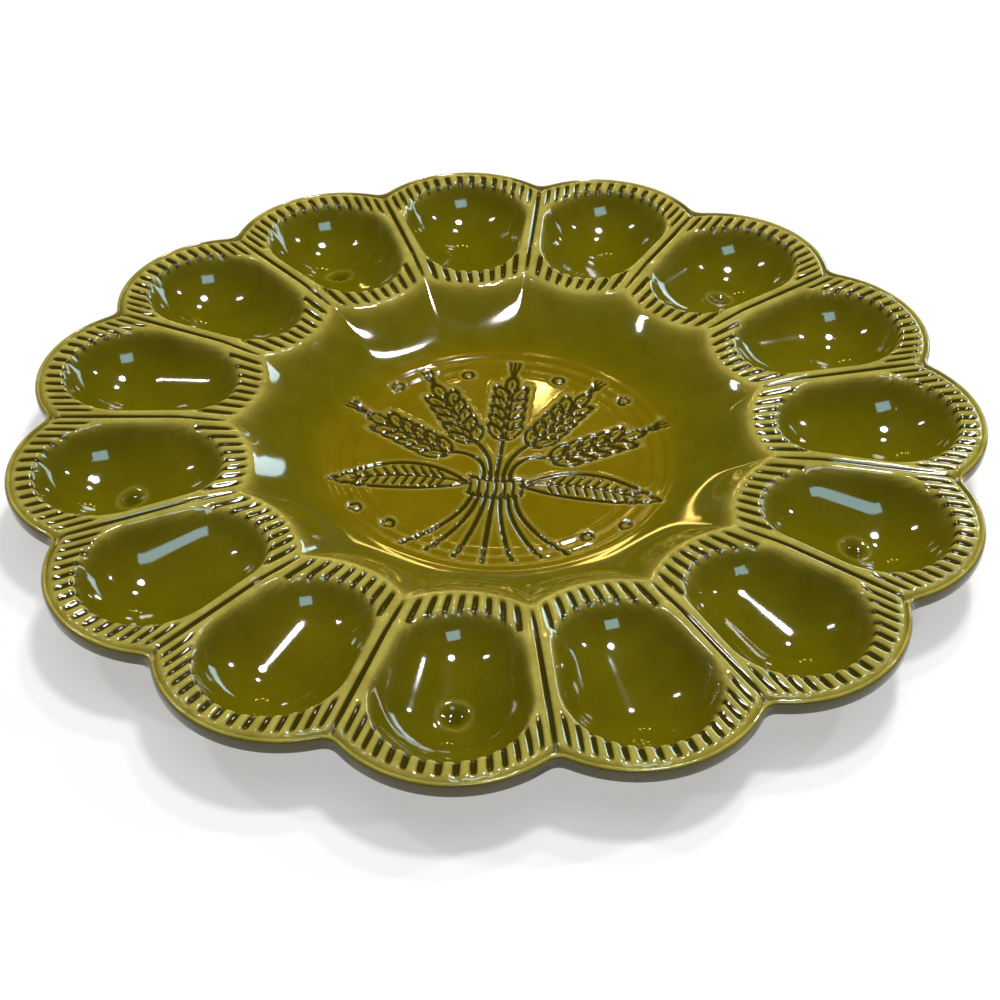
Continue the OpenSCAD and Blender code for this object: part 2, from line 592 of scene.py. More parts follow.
    def carve(self, x: Array, y: Array) -> tuple[Array, Array, Array]:
        """Returns the lines' depth, how far each place is in a line, and how far on a line's raised edge."""
        near = np.hypot(x, y) < self.reach + self.margin
        d = np.full_like(x, FAR_OFF)
        d[near] = self.scale * self.distance(x[near] / self.scale, y[near] / self.scale)
        line = ease((self.line_soft - d) / (2 * self.line_soft))
        edge = np.exp(-(((d - self.edge_out) / self.edge_w) ** 2))
        return self.depth * line - self.edge_h * edge, line, edge


@dataclass
class RingShell:
    """A closed skin of rings of points, joined by quads, or by triangles where their counts differ."""

    name: str
    around: float
    rings: list[Array] = field(default_factory=list)
    places: list[Array] = field(default_factory=list)
    masks: list[Array] = field(default_factory=list)
    flats: list[Array] = field(default_factory=list)
    shown: list[bool] = field(default_factory=list)

    # The pool mask holds glaze pooled in grooves and sinks, and also painted shade down the lip's side
    MASKS = ("thin", "pool", "well")
    MAP_MARGIN = 2.02
    HIDDEN_SCALE = 0.15
    HIDDEN_AT = 0.08
    FOLD_DEGREES = 85.0

    def add(self, xyz: Array, place: Array, masks: Array | None = None, shown: bool = True,
            flat: Array | None = None) -> None:
        """Adds the next ring.

        Args:
            xyz: the ring's points.
            place: each point's place round the ring, in wells.
            masks: columns for MASKS, or None where the ring is hidden.
            shown: whether the strip that ends at this ring is seen.
            flat: the points laid out flat for the map, or None to take them as seen from above.
        """
        self.rings.append(xyz)
        self.places.append(place)
        self.masks.append(np.zeros((len(xyz), len(self.MASKS))) if masks is None else masks)
        self.shown.append(shown)
        self.flats.append(xyz[:, :2] if flat is None else flat)

    def zip_rings(self, i: int, first: Array) -> list[Array]:
        """Returns the faces between ring i and the next one."""
        a, b = self.places[i], self.places[i + 1]
        n, m = len(a), len(b)
        base_a, base_b = first[i], first[i + 1]
        if n == m and np.allclose(a, b):
            k = np.arange(n)
            nxt = (k + 1) % n
            return [np.stack([base_a + k, base_b + k, base_b + nxt, base_a + nxt], axis=1)]
        a_next = np.append(a[1:], self.around)
        b_next = np.append(b[1:], self.around)
        faces = []
        if n > 1:
            k = np.arange(n)
            j = np.searchsorted(b_next, a_next, side="left") if m > 1 else np.zeros(n, int)
            faces.append(np.stack([base_a + k, base_b + j % m, base_a + (k + 1) % n], axis=1))
        if m > 1:
            k = np.arange(m)
            j = np.searchsorted(a_next, b_next, side="right") if n > 1 else np.zeros(m, int)
            faces.append(np.stack([base_a + j % n, base_b + k, base_b + (k + 1) % m], axis=1))
        return faces

    def lay_out(self, mesh: bpy.types.Mesh, seen: Array, spread: float) -> None:
        """Gives the mesh a flat map: the seen side large, the hidden side small in a corner.

        Args:
            mesh: the mesh, its faces in strip order.
            seen: whether each face is on the seen side.
            spread: how far the flat layout reaches from the middle.
        """
        flat = np.vstack(self.flats) / (self.MAP_MARGIN * spread)
        corners = np.zeros(len(mesh.loops), np.int32)
        mesh.loops.foreach_get("vertex_index", corners)
        totals = np.zeros(len(mesh.polygons), np.int32)
        mesh.polygons.foreach_get("loop_total", totals)
        on_seen = np.repeat(seen, totals)[:, None]
        big = flat[corners] + 0.5
        small = flat[corners] * self.HIDDEN_SCALE + self.HIDDEN_AT
        layer = mesh.uv_layers.new(name="OFBake")
        layer.uv.foreach_set("vector", np.where(on_seen, big, small).astype(np.float32).ravel())

    def make(self) -> bpy.types.Object:
        """Builds the object, smooth but for folds, with its masks and its map."""
        counts = [len(r) for r in self.rings]
        first = np.concatenate([[0], np.cumsum(counts)[:-1]])
        faces: list[list[int]] = []
        seen: list[Array] = []
        for i in range(len(self.rings) - 1):
            for block in self.zip_rings(i, first):
                faces.extend(block.tolist())
                seen.append(np.full(len(block), self.shown[i + 1]))
        mesh = bpy.data.meshes.new(self.name)
        mesh.from_pydata((np.vstack(self.rings) * MM).tolist(), [], faces)
        mesh.update()
        masks = np.vstack(self.masks).astype(np.float32)
        for column, name in enumerate(self.MASKS):
            layer = mesh.attributes.new(name, "FLOAT", "POINT")
            layer.data.foreach_set("value", np.ascontiguousarray(masks[:, column]))
        spread = max(float(np.abs(f).max()) for f in self.flats)
        self.lay_out(mesh, np.concatenate(seen), spread)
        mesh.shade_smooth()
        mesh.set_sharp_from_angle(angle=math.radians(self.FOLD_DEGREES))
        obj = bpy.data.objects.new(self.name, mesh)
        bpy.context.scene.collection.objects.link(obj)
        return obj


@dataclass(frozen=True)
class Columns:
    """Places round the platter, in wells, at which the rings have their points."""

    form: PlatterForm
    web_steps: tuple[float, ...] = (
        0.0, 0.2, 0.4, 0.65, 0.95, 1.2, 1.45, 1.7, 2.1, 2.7, 3.6, 4.8, 6.4, 8.2, 10.1,
    )
    sink_steps: tuple[float, ...] = (0.4, 0.8, 1.2, 1.6, 2.0, 2.4, 2.9, 3.6)
    slot_phases: tuple[float, ...] = (0.12, 0.26, 0.5, 0.74, 0.88)
    hidden_steps: tuple[float, ...] = (0.0, 1.2, 2.4, 4.0, 6.0, 8.0, 10.0)
    clear: float = 0.02

    def even(self, count: int) -> Array:
        """Returns count places at equal steps."""
        return np.arange(count) * self.form.wells / count

    def slots(self, pitches: int) -> Array:
        """Returns places that follow the walls of grooves, pitches of them to a well."""
        one = (np.arange(pitches)[:, None] + np.array(self.slot_phases)).ravel() / pitches
        one = np.append(0.0, one)
        return (np.arange(self.form.wells)[:, None] + one).ravel()

    def mirrored(self, steps: tuple[float, ...], extra: tuple[float, ...] = ()) -> Array:
        """Returns one well's places, from a web's middle to the next, by steps in degrees from the web."""
        whole = math.degrees(self.form.pitch)
        half = [s / whole for s in steps]
        inner = [0.5 - s / whole for s in extra if 0.5 - s / whole > half[-1]] if extra else []
        kept = [h for h in half if not extra or h < 0.5 - extra[-1] / whole - self.clear]
        left = sorted(kept + inner)
        return np.array(left + [0.5] + [1.0 - h for h in reversed(left) if h > 0.0])

    def wells(self, every: int) -> Array:
        """Returns places for the wells, finer round the sinks."""
        plain = self.mirrored(self.web_steps)
        fine = self.mirrored(self.web_steps[:-2], self.sink_steps)
        return np.concatenate([k + (plain if k % every else fine) for k in range(self.form.wells)])

    def hidden(self) -> Array:
        """Returns coarse places for surfaces that nobody sees."""
        one = self.mirrored(self.hidden_steps)
        return np.concatenate([k + one for k in range(self.form.wells)])


@dataclass(frozen=True)
class Layout:
    """Turns places round the platter into points of its surfaces."""

    form: PlatterForm
    fan: float = 0.016
    band_r: float = 138.0

    def angle(self, place: Array) -> tuple[Array, Array]:
        """Returns each place's angle from -Y and its share of a well from the well's middle."""
        return (place - 0.5) * self.form.pitch, place - np.floor(place) - 0.5

    def at(self, r: Array, a: Array) -> tuple[Array, Array]:
        """Returns x and y of a radius and an angle from -Y."""
        return r * np.sin(a), -r * np.cos(a)

    def beside_well(self, a: Array) -> Array:
        """Returns the angle from the nearest well's middle of an angle from -Y."""
        return self.form.polar(*self.at(np.ones_like(a), a))[1]

    def edge(self, place: Array, depth: float) -> tuple[Array, Array]:
        """Returns x and y of the outline moved inwards by a depth."""
        a, u = self.angle(place)
        a = a + self.fan * np.sin(2 * math.pi * u)
        b = self.beside_well(a)
        r = self.form.edge_radius(b)
        out, side = self.form.edge_lean(b)
        x, y = self.at(r, a)
        return (x - depth * (out * np.sin(a) + side * np.cos(a)),
                y - depth * (-out * np.cos(a) + side * np.sin(a)))

    def band(self, place: Array, share: float, depth: float) -> tuple[Array, Array]:
        """Returns x and y between the wells' ring and the outline moved inwards by a depth."""
        a, _ = self.angle(place)
        x0, y0 = self.at(np.full_like(a, self.band_r), a)
        x1, y1 = self.edge(place, depth)
        return x0 + share * (x1 - x0), y0 + share * (y1 - y0)


def stacked(x: Array, y: Array, z: Array) -> Array:
    """Returns rows of points."""
    return np.stack([x, y, z + np.zeros_like(x)], axis=1)


def dress(obj: bpy.types.Object, material: bpy.types.Material, slot: str, *nodes: str) -> None:
    """Finishes a piece and fixes it to the platter.

    Args:
        obj: the piece.
        material: what it is made of.
        slot: not used.
        nodes: the CAD nodes that the piece stands for.
    """
    obj.data.materials.append(material)
    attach(obj, "root")
    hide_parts(*nodes)
    LOG.info("%s: %d faces, stands for %s", obj.name, len(obj.data.polygons), ", ".join(nodes))


@dataclass
class FaceGlaze:
    """Glaze over the land, the wells, the dish and the lip."""

    form: PlatterForm
    columns: Columns
    layout: Layout
    ribs: RibBands
    sinks: SinkMarks
    design: WheatDesign
    floor_step: float = 0.66
    floor_counts: tuple[tuple[float, int], ...] = (
        (2.8, 30), (5.6, 60), (11.5, 120), (23.0, 240), (46.0, 420),
    )
    floor_points: int = 450
    wall_points: int = 420
    wall_rows: int = 13
    wall_gap: float = 1.0
    wall_clear: float = 2.2
    inner_rows: int = 19
    inner_clear: float = 1.4
    inner_end: float = 103.0
    well_rows: tuple[tuple[float, float, float], ...] = (
        (104.5, 118.0, 1.7), (118.7, 132.5, 0.9), (134.0, 138.0, 1.7),
    )
    outer_spans: tuple[tuple[float, float, int], ...] = ((0.05, 0.5, 7), (0.55, 0.98, 14))
    lip_points: int = 32
    lip_rows: int = 4
    thin_from: float = 0.12
    thin_run: float = 0.75
    thin_far: float = 0.24
    thin_far_run: float = 3.0
    deep_from: float = 54.0
    deep_run: float = 16.0
    deep_below: float = 0.6
    deep_fade: float = 2.0
    sink_pool: float = 0.46
    sink_thin: float = 0.3
    line_thin: float = 0.42
    pale_lip: float = 0.55
    pale_fade: float = 0.45
    # Where the lip's side starts to darken and how strongly: painted shade towards the lip's bottom edge,
    # carried in the pool mask
    lip_shade_from: float = 0.3
    lip_painted_shade: float = 0.44

    def surface(self, x: Array, y: Array, carve: Array,
                drawn: tuple[Array, Array] | None = None) -> tuple[Array, Array]:
        """Gives the carved face and its masks.

        Args:
            x: places across.
            y: places along.
            carve: depth of the grooves there.
            drawn: how far each place is in a drawn line and on a line's edge, if it may be.

        Returns:
            The height and the columns of masks.
        """
        r, b = self.form.polar(x, y)
        smooth = self.form.face(r, b)
        land = self.form.land(r)
        below = np.maximum(land - smooth - self.thin_from, 0.0)
        thin = np.exp(-below / self.thin_run) + self.thin_far * np.exp(-below / self.thin_far_run)
        wall = ease((r - self.deep_from) / self.deep_run) * ease((below - self.deep_below) / self.deep_fade)
        well = np.maximum(ease((land - self.form.egg(r, b)) / self.deep_fade), wall)
        depth, sink, ring = self.sinks.carve(x, y)
        pool = np.clip(carve / self.ribs.depth, 0.0, 1.0) + self.sink_pool * sink
        thin = thin + self.sink_thin * ring
        if drawn is not None:
            pool = np.maximum(pool, drawn[0])
            thin = thin + self.line_thin * drawn[1] * (1.0 - drawn[0])
        masks = np.stack([np.clip(thin, 0.0, 1.0), np.clip(pool, 0.0, 1.0), well], axis=1)
        return smooth - carve - depth, masks

    def add_row(self, shell: RingShell, place: Array, x: Array, y: Array, carve: Array) -> None:
        """Adds one ring of the carved face."""
        z, masks = self.surface(x, y, carve)
        shell.add(stacked(x, y, z), place, masks)

    def floor_rings(self, shell: RingShell) -> None:
        """Adds the dish's floor, fine enough for the incised lines."""
        centre = np.zeros(1)
        self.add_row(shell, centre, centre, centre, centre)
        r = self.floor_step
        for stop, count in self.floor_counts + ((self.design.reach, self.floor_points),):
            place = self.columns.even(count)
            a, _ = self.layout.angle(place)
            while r < stop:
                x, y = self.layout.at(np.full_like(a, r), a)
                carve, line, edge = self.design.carve(x, y)
                z, masks = self.surface(x, y, np.zeros_like(x), (line, edge))
                shell.add(stacked(x, y, z - carve), place, masks)
                r += self.floor_step

    def wall_rings(self, shell: RingShell) -> None:
        """Adds the dish's wall, whose rings turn from round to lobed."""
        place = self.columns.even(self.wall_points)
        a, _ = self.layout.angle(place)
        b = self.layout.beside_well(a)
        start = self.design.reach + self.wall_gap
        for share in np.linspace(0.0, 1.0, self.wall_rows):
            r = start + share * (self.form.lobe(b) - self.wall_clear - start)
            x, y = self.layout.at(r, a)
            self.add_row(shell, place, x, y, np.zeros_like(x))

    def inner_rings(self, shell: RingShell) -> None:
        """Adds the grooved land between the dish and the wells."""
        place = self.columns.slots(self.ribs.inner_pitches)
        a, u = self.layout.angle(place)
        b = self.layout.beside_well(a)
        start = self.form.lobe(b) - self.inner_clear
        for share in np.linspace(0.0, 1.0, self.inner_rows):
            r = start + share * (self.inner_end - start)
            x, y = self.layout.at(r, a)
            self.add_row(shell, place, x, y, np.maximum(self.ribs.inner(r, b, u), self.ribs.web(r, b)))

    def well_rings(self, shell: RingShell) -> None:
        """Adds the middle of the wells and the webs between them."""
        place = self.columns.wells(self.sinks.every)
        a, _ = self.layout.angle(place)
        for radius in np.concatenate([np.arange(*row) for row in self.well_rows]):
            r = np.full_like(a, radius)
            x, y = self.layout.at(r, a)
            b = self.form.polar(x, y)[1]
            self.add_row(shell, place, x, y, self.ribs.web(r, b))

    def outer_rings(self, shell: RingShell) -> None:
        """Adds the outer ends of the wells and the grooved land up to the lip."""
        place = self.columns.slots(self.ribs.outer_pitches)
        _, u = self.layout.angle(place)
        for share in np.concatenate([np.linspace(*span) for span in self.outer_spans]):
            x, y = self.layout.band(place, share, self.form.lip_top)
            r, b = self.form.polar(x, y)
            carve = np.maximum(self.ribs.outer(r, b, u), self.ribs.web(r, b))
            z, masks = self.surface(x, y, carve)
            shell.add(stacked(x, y, z - self.ribs.step(r, b)), place, masks)

    def lip_profile(self) -> list[tuple[float, float]]:
        """Returns depth inwards and drop of the lip's rows, from the land over the edge to its underside."""
        top, low = self.form.lip_top, self.form.lip_low
        turns = np.linspace(0.0, math.pi / 2, self.lip_rows)
        step = self.ribs.shoulder
        rows = [(top * (1.0 - math.sin(t)), step + top * (1.0 - math.cos(t))) for t in turns]
        rows.append((0.0, (self.form.lip_t + step + top - low) / 2))
        bottom = self.form.lip_t
        return rows + [(low * (1.0 - math.cos(t)), bottom - low * (1.0 - math.sin(t))) for t in turns]

    def lip_rings(self, shell: RingShell) -> None:
        """Adds the lip, from the land over its edge to its underside."""
        place = self.columns.even(self.form.wells * self.lip_points)
        for depth, drop in self.lip_profile():
            x, y = self.layout.edge(place, depth)
            z = np.full_like(x, self.form.rim_z - drop)
            # Pale over the lip's top, where the glaze breaks over the edge; down the side the colour turns
            # deep and then darker towards the bottom edge, which is painted shade
            thin = float(1.0 - ease(np.array((drop - self.pale_lip) / self.pale_fade)))
            fall = (drop - self.lip_shade_from) / (self.form.lip_t - self.lip_shade_from)
            pool = self.lip_painted_shade * float(ease(np.array(fall)))
            masks = np.stack([np.full_like(x, thin), np.full_like(x, pool), np.ones_like(x)], axis=1)
            fx, fy = self.layout.edge(place, self.form.lip_top - drop)
            shell.add(stacked(x, y, z), place, masks, flat=np.stack([fx, fy], axis=1))

    def build(self) -> bpy.types.Object:
        """Builds the glaze as one closed skin."""
        shell = RingShell("face_glaze_coat", float(self.form.wells))
        self.floor_rings(shell)
        self.wall_rings(shell)
        self.inner_rings(shell)
        self.well_rings(shell)
        self.outer_rings(shell)
        self.lip_rings(shell)
        clay = ClayBody(self.form, self.columns, self.layout)
        for xyz, place in reversed(clay.top_rings()):
            shell.add(xyz, place, shown=False)
        return shell.make()


@dataclass
class ClayBody:
    """The fired casting between the two coats of glaze."""

    form: PlatterForm
    columns: Columns
    layout: Layout
    floor_radii: tuple[float, ...] = (12.0, 24.0, 36.0, 44.0)
    radii: tuple[float, ...] = (48.0, 53.0, 58.0, 63.0, 68.0, 73.0, 78.0)
    lobed: tuple[float, ...] = (-3.0, 0.0, 3.0, 6.0)
    outer_radii: tuple[float, ...] = (100.0, 105.0, 110.0, 115.0, 120.0, 125.0, 130.0, 134.0)
    shares: tuple[float, ...] = (0.0, 0.25, 0.5, 0.7, 0.85)
    lip_inset: float = 0.6
    roll: float = 2.4
    roll_mid: float = 1.3
    roll_drop: float = 0.4
    roll_rise: float = 0.5

    def spots(self) -> list[tuple[Array, Array]]:
        """Returns rings of places from the middle out to the lip, x and y."""
        place = self.columns.hidden()
        a, _ = self.layout.angle(place)
        b = self.layout.beside_well(a)
        rings = [self.layout.at(np.full_like(a, r), a) for r in self.floor_radii + self.radii]
        rings += [self.layout.at(self.form.lobe(b) + off, a) for off in self.lobed]
        rings += [self.layout.at(np.full_like(a, r), a) for r in self.outer_radii]
        rings += [self.layout.band(place, s, self.roll) for s in self.shares]
        return rings

    def from_middle(self, heights: list[tuple[Array, Array, Array]]) -> list[tuple[Array, Array]]:
        """Returns rings of points and places that begin with the middle point."""
        place = self.columns.hidden()
        mid_z = heights[0][2].mean()
        rings = [(np.array([[0.0, 0.0, mid_z]]), np.zeros(1))]
        return rings + [(stacked(x, y, z), place) for x, y, z in heights]

    def top_rings(self) -> list[tuple[Array, Array]]:
        """Returns the clay's face, from the middle out and round the inside of the lip."""
        found = []
        for x, y in self.spots():
            r, b = self.form.polar(x, y)
            found.append((x, y, self.form.face(r, b) - self.form.clay_deep))
        place = self.columns.hidden()
        top = self.form.rim_z - self.form.clay_deep
        low = self.form.rim_z - self.form.lip_t + self.form.glaze_t
        rows = (
            (self.roll, top),
            (self.roll_mid, top - self.roll_drop),
            (self.lip_inset, (top + low) / 2),
            (self.roll_mid, low + self.roll_rise),
            (self.roll, low),
        )
        for depth, z in rows:
            x, y = self.layout.edge(place, depth)
            found.append((x, y, np.full_like(x, z)))
        return self.from_middle(found)

    def bottom_rings(self) -> list[tuple[Array, Array]]:
        """Returns the clay's underside, from the middle out to the lip."""
        found = []
        for x, y in self.spots():
            r, b = self.form.polar(x, y)
            found.append((x, y, self.form.under(r, b) + self.form.clay_high))
        return self.from_middle(found)

    def build(self) -> bpy.types.Object:
        """Builds the casting as one closed skin."""
        shell = RingShell("clay_casting", float(self.form.wells))
        for xyz, place in self.top_rings():
            shell.add(xyz, place)
        for xyz, place in reversed(self.bottom_rings()):
            shell.add(xyz, place, shown=False)
        return shell.make()


@dataclass
class UndersideGlaze:
    """Glaze under the lip, the backs of the wells and the dish."""

    form: PlatterForm
    columns: Columns
    layout: Layout
    step: float = 1.7
    points: int = 24
    band_start: float = 0.96
    band_rows: int = 15
    floor_in: float = 3.0
    middle: tuple[tuple[float, int], ...] = ((36.0, 180), (24.0, 90), (12.0, 45))
    high_pool: float = 0.3
    low_thin: float = 0.22
    depth_tone: float = 0.8

    def ring(self, x: Array, y: Array, z: Array | None = None) -> tuple[Array, Array]:
        """Returns points and masks of the seen underside."""
        r, b = self.form.polar(x, y)
        if z is None:
            z = self.form.under(r, b)
        high = ease((z - self.form.foot_z) / (self.form.rim_z - self.form.lip_t - self.form.foot_z))
        pool = self.high_pool * high
        thin = self.low_thin * (1.0 - high)
        return stacked(x, y, z), np.stack([thin, pool, np.full_like(x, self.depth_tone)], axis=1)

    def build(self) -> bpy.types.Object:
        """Builds the glaze as one closed skin."""
        shell = RingShell("underside_glaze_coat", float(self.form.wells))
        clay = ClayBody(self.form, self.columns, self.layout)
        for xyz, place in clay.bottom_rings():
            shell.add(xyz, place, shown=False)
        place = self.columns.even(self.form.wells * self.points)
        a, _ = self.layout.angle(place)
        low = self.form.rim_z - self.form.lip_t
        x, y = self.layout.edge(place, self.form.lip_low)
        xyz, masks = self.ring(x, y, np.full_like(x, low))
        shell.add(xyz, place, masks, shown=False)
        for share in np.linspace(self.band_start, 0.0, self.band_rows):
            xyz, masks = self.ring(*self.layout.band(place, share, self.form.lip_low))
            shell.add(xyz, place, masks)
        stop = self.form.floor_r - self.floor_in
        for r in np.arange(self.layout.band_r - self.step, stop, -self.step):
            xyz, masks = self.ring(*self.layout.at(np.full_like(a, r), a))
            shell.add(xyz, place, masks)
        for r, count in self.middle:
            place = self.columns.even(count)
            a, _ = self.layout.angle(place)
            xyz, masks = self.ring(*self.layout.at(np.full_like(a, r), a))
            shell.add(xyz, place, masks)
        xyz, masks = self.ring(np.zeros(1), np.zeros(1))
        shell.add(xyz, np.zeros(1), masks)
        return shell.make()


@dataclass
class PegFoot:
    """A cast peg that the platter stands on, worn round at its bare end."""

    node: str
    points: int = 40
    ease_r: float = 0.9
    flare: float = 0.25
    rows: int = 6
    cap: float = 0.55

    def profile(self, radius: float, height: float) -> list[tuple[float, float]]:
        """Returns radius and height up the peg's side, from its flat end."""
        flat = radius - self.flare - self.ease_r
        rows = [(self.cap * flat, 0.0), (flat, 0.0)]
        for i in range(1, self.rows + 1):
            t = i / self.rows * math.pi / 2
            rows.append((flat + self.ease_r * math.sin(t), self.ease_r * (1.0 - math.cos(t))))
        for i in range(1, self.rows + 1):
            t = i / self.rows
            rise = self.ease_r + (height - self.ease_r) * t
            rows.append((radius - self.flare * (1.0 - t * t), rise))
        return rows + [(self.cap * radius, height)]

    def build(self) -> bpy.types.Object:
        """Builds the peg where its CAD node stands."""
        low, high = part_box(self.node)
        mid = (low + high) / 2
        radius = (high.x - low.x) / 2 / MM
        height = (high.z - low.z) / MM
        shell = RingShell(self.node + "_peg", 1.0)
        place = np.arange(self.points) / self.points
        a = place * 2 * math.pi
        x0, y0, z0 = mid.x / MM, mid.y / MM, low.z / MM
        rows = self.profile(radius, height)
        shell.add(np.array([[x0, y0, z0 + height]]), np.zeros(1))
        for r, z in reversed(rows):
            xyz = stacked(x0 + r * np.sin(a), y0 - r * np.cos(a), np.full_like(a, z0 + z))
            shell.add(xyz, place)
        shell.add(np.array([[x0, y0, z0]]), np.zeros(1))
        return shell.make()


class Side(Enum):
    """Which coat of glaze a material is for."""

    FACE = "face"
    UNDERSIDE = "underside"


class Nodes:
    """Short ways to place and link shader nodes in one tree."""

    def __init__(self, tree: bpy.types.NodeTree) -> None:
        """Keeps the tree."""
        self.tree = tree

    def add(self, kind: str, **values: object) -> bpy.types.Node:
        """Adds a node.

        Args:
            kind: Blender's name for the node.
            values: what to set, on the node itself or else on the input of that name.

        Returns:
            The node.
        """
        node = self.tree.nodes.new(kind)
        for key, value in values.items():
            if hasattr(node, key):
                setattr(node, key, value)
            else:
                node.inputs[key.replace("_", " ")].default_value = value
        return node

    def link(self, source: Socket, target: Socket) -> None:
        """Links two sockets."""
        self.tree.links.new(source, target)

    def noise(self, vector: Socket, scale: float, detail: float) -> Socket:
        """Returns the value of a noise pattern."""
        node = self.add("ShaderNodeTexNoise", Scale=scale, Detail=detail)
        self.link(vector, node.inputs["Vector"])
        return node.outputs["Fac"]

    def span(self, value: Socket, low: float, high: float, to_low: float, to_high: float) -> Socket:
        """Returns a value moved from one span to another and kept inside it."""
        node = self.add("ShaderNodeMapRange", clamp=True)
        for name, number in (("From Min", low), ("From Max", high), ("To Min", to_low), ("To Max", to_high)):
            node.inputs[name].default_value = number
        self.link(value, node.inputs["Value"])
        return node.outputs["Result"]

    def maths(self, operation: str, a: Socket, b: Socket | float) -> Socket:
        """Returns the result of one sum on two values."""
        node = self.add("ShaderNodeMath", operation=operation)
        self.link(a, node.inputs[0])
        if isinstance(b, (int, float)):
            node.inputs[1].default_value = b
        else:
            self.link(b, node.inputs[1])
        return node.outputs["Value"]

    def mix(self, share: Socket, a: Socket, b: Socket) -> Socket:
        """Returns a colour between two colours."""
        node = self.add("ShaderNodeMix", data_type="RGBA")
        self.link(share, node.inputs["Factor"])
        self.link(a, node.inputs[6])
        self.link(b, node.inputs[7])
        return node.outputs[2]

    def bump(self, height: Socket, strength: float, distance: float) -> Socket:
        """Returns the normal of a surface raised by a height."""
        node = self.add("ShaderNodeBump", Strength=strength, Distance=distance)
        self.link(height, node.inputs["Height"])
        return node.outputs["Normal"]


Sockets = tuple[tuple[str, str], ...]
GroupParts = tuple[bpy.types.NodeTree, Nodes, bpy.types.Node, bpy.types.Node]


def new_material(name: str) -> tuple[bpy.types.Material, Nodes, bpy.types.Node]:
    """Returns a new material, its node maker and its shader."""
    made = bpy.data.materials.new(name)
    made.use_nodes = True
    return made, Nodes(made.node_tree), made.node_tree.nodes["Principled BSDF"]


def new_group(name: str, ins: Sockets, outs: Sockets) -> GroupParts:
    """Makes an empty shader node group.

    Args:
        name: the group's name.
        ins: name and kind of each input.
        outs: name and kind of each output.

    Returns:
        The group, its node maker, and the nodes that hold its inputs and its outputs.
    """
    tree = bpy.data.node_groups.new(name, "ShaderNodeTree")
    for label, kind in ins:
        tree.interface.new_socket(name=label, in_out="INPUT", socket_type="NodeSocket" + kind)
    for label, kind in outs:
        tree.interface.new_socket(name=label, in_out="OUTPUT", socket_type="NodeSocket" + kind)
    nodes = Nodes(tree)
    return tree, nodes, nodes.add("NodeGroupInput"), nodes.add("NodeGroupOutput")


# Values of the finishes: a noise is its scale and detail, and the rest are spans from low to high
UNIT = (0.0, 1.0)
NOISE_SPREAD = (0.3, 0.7)
SPECK_NOISE = (1500.0, 1.0)
SPECK_SPAN = (0.66, 0.74)
BROAD_NOISE = (26.0, 3.0)
CLOUD_NOISE = (120.0, 4.0)
GRAIN_NOISE = (900.0, 2.0)
SAND_NOISE = (700.0, 5.0)
WELL_DRIFT = (-0.28, 0.12)
THIN_RAGGED = (0.72, 1.12)
CLOUD_SHADE = (-0.07, 0.07)
GRAIN_SHADE = (0.95, 1.05)
POOL_AND_SHADE_SPAN = (0.18, 0.62)
GLOSS_SPREAD = (0.25, 0.75)
GLAZE_ROUGH = (0.045, 0.1)
CLAY_ROUGH = (0.68, 0.9)
CLOUD_HEIGHT = 0.25


def specks_group() -> bpy.types.NodeTree:
    """Returns the group for small fired specks, shared by the glaze and the bare clay."""
    found = bpy.data.node_groups.get("fired_specks")
    if found:
        return found
    tree, nodes, start, end = new_group(
        "fired_specks",
        (("Vector", "Vector"), ("Colour", "Color"), ("Speck", "Color"), ("Amount", "Float")),
        (("Colour", "Color"),),
    )
    dots = nodes.noise(start.outputs["Vector"], *SPECK_NOISE)
    mask = nodes.span(dots, *SPECK_SPAN, *UNIT)
    mask = nodes.maths("MULTIPLY", mask, start.outputs["Amount"])
    nodes.link(nodes.mix(mask, start.outputs["Colour"], start.outputs["Speck"]), end.inputs["Colour"])
    return tree


def add_specks(nodes: Nodes, place: Socket, colour: Socket, speck: Colour, amount: float) -> Socket:
    """Places the group for specks in a material.

    Args:
        nodes: the material's node maker.
        place: where on the piece the surface is.
        colour: the surface's own colour.
        speck: the specks' colour.
        amount: how strongly the specks show.

    Returns:
        The specked colour.
    """
    specks = nodes.add("ShaderNodeGroup", node_tree=specks_group())
    nodes.link(place, specks.inputs["Vector"])
    nodes.link(colour, specks.inputs["Colour"])
    specks.inputs["Speck"].default_value = (*speck, 1.0)
    specks.inputs["Amount"].default_value = amount
    return specks.outputs["Colour"]


